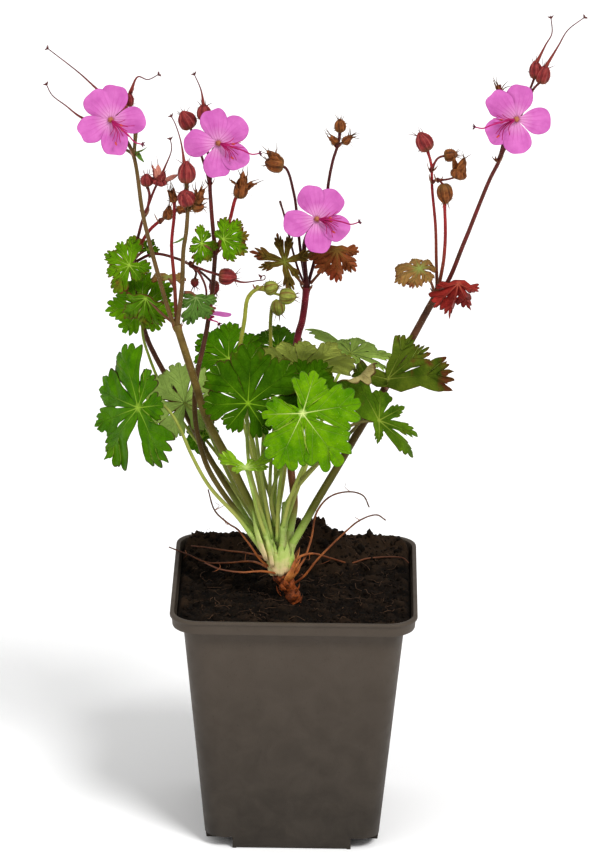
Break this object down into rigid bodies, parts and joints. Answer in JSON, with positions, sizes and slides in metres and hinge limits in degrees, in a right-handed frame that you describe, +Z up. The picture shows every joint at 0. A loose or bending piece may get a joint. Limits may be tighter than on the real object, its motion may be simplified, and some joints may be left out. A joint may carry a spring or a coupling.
{
  "type": "hardy geranium in a nursery pot",
  "caption": "A hardy geranium with deeply lobed leaves, branching stems, pink saucer flowers and beaked seed heads, growing in a tall square nursery pot.",
  "frame": {"origin": "centre of the flat underside of the pot", "axes": "+Z up along the pot, +Y towards the back of the plant, +X to the right seen from its front"},
  "size_m": [0.1914, 0.0928, 0.3097],
  "materials": {
    "pot_plastic": "matte taupe-grey thin moulded plastic",
    "soil": "near-black peat compost with crumbs and brown fibres",
    "rootstock": "orange-brown bark on a short rootstock and thin roots",
    "crown": "pale green to cream leaf bases with papery sheaths",
    "leaf": "soft bright green blades with pale veins, satin",
    "bract_green": "bright green small blades with red-brown teeth",
    "bract_brown": "ageing blades turned brown and olive",
    "bract_crimson": "ageing blade turned crimson, crumpled",
    "stem_brown": "purple-brown stalks with fine pale hairs",
    "stem_olive": "olive stalks flushed red at their joints",
    "stem_crimson": "crimson stalks, slightly glossy",
    "petal": "orchid-pink petals, dark veins, pale then dark centre",
    "stamen": "magenta filaments with orange-red anthers"
  },
  "bodies": {
    "root": {"nursery_pot": "pot_plastic", "potting_soil": "soil", "rootstock_and_roots": "rootstock", "leaf_01_left": "leaf", "leaf_02_centre": "leaf", "leaf_03_front": "leaf", "leaf_04_underside": "leaf", "leaf_05_back_left": "leaf", "leaf_06_back": "leaf", "leaf_07_tent": "leaf", "leaf_09_right": "leaf", "leaf_10_behind": "leaf", "leaf_11_unfolding": "leaf", "leaf_12_small": "leaf", "leaf_13_far": "leaf", "leaf_14_upper_left": "leaf", "stem_a": "stem_brown", "stem_b": "stem_olive", "stem_c": "stem_brown", "stem_d": "stem_crimson", "stem_e": "stem_brown", "stem_f": "stem_olive", "stem_g": "stem_olive", "crown": "crown", "bract_a_front": "bract_green", "bract_a_back": "bract_green", "bract_b_left": "bract_brown", "bract_b_curled": "bract_brown", "bract_c_left": "bract_green", "bract_c_right": "bract_green", "bract_b_low": "bract_green", "bract_d_left": "bract_brown", "bract_d_right": "bract_brown", "bract_e_left": "bract_brown", "bract_e_right": "bract_crimson", "leaf_08_on_stem_e": "leaf", "flower_1_petals": "petal", "flower_1_stamens": "stamen", "flower_2_petals": "petal", "flower_2_stamens": "stamen", "flower_3_petals": "petal", "flower_3_stamens": "stamen", "flower_4_petals": "petal", "flower_4_stamens": "stamen", "flower_5_petals": "petal", "flower_5_stamens": "stamen"}
  },
  "joints": []
}
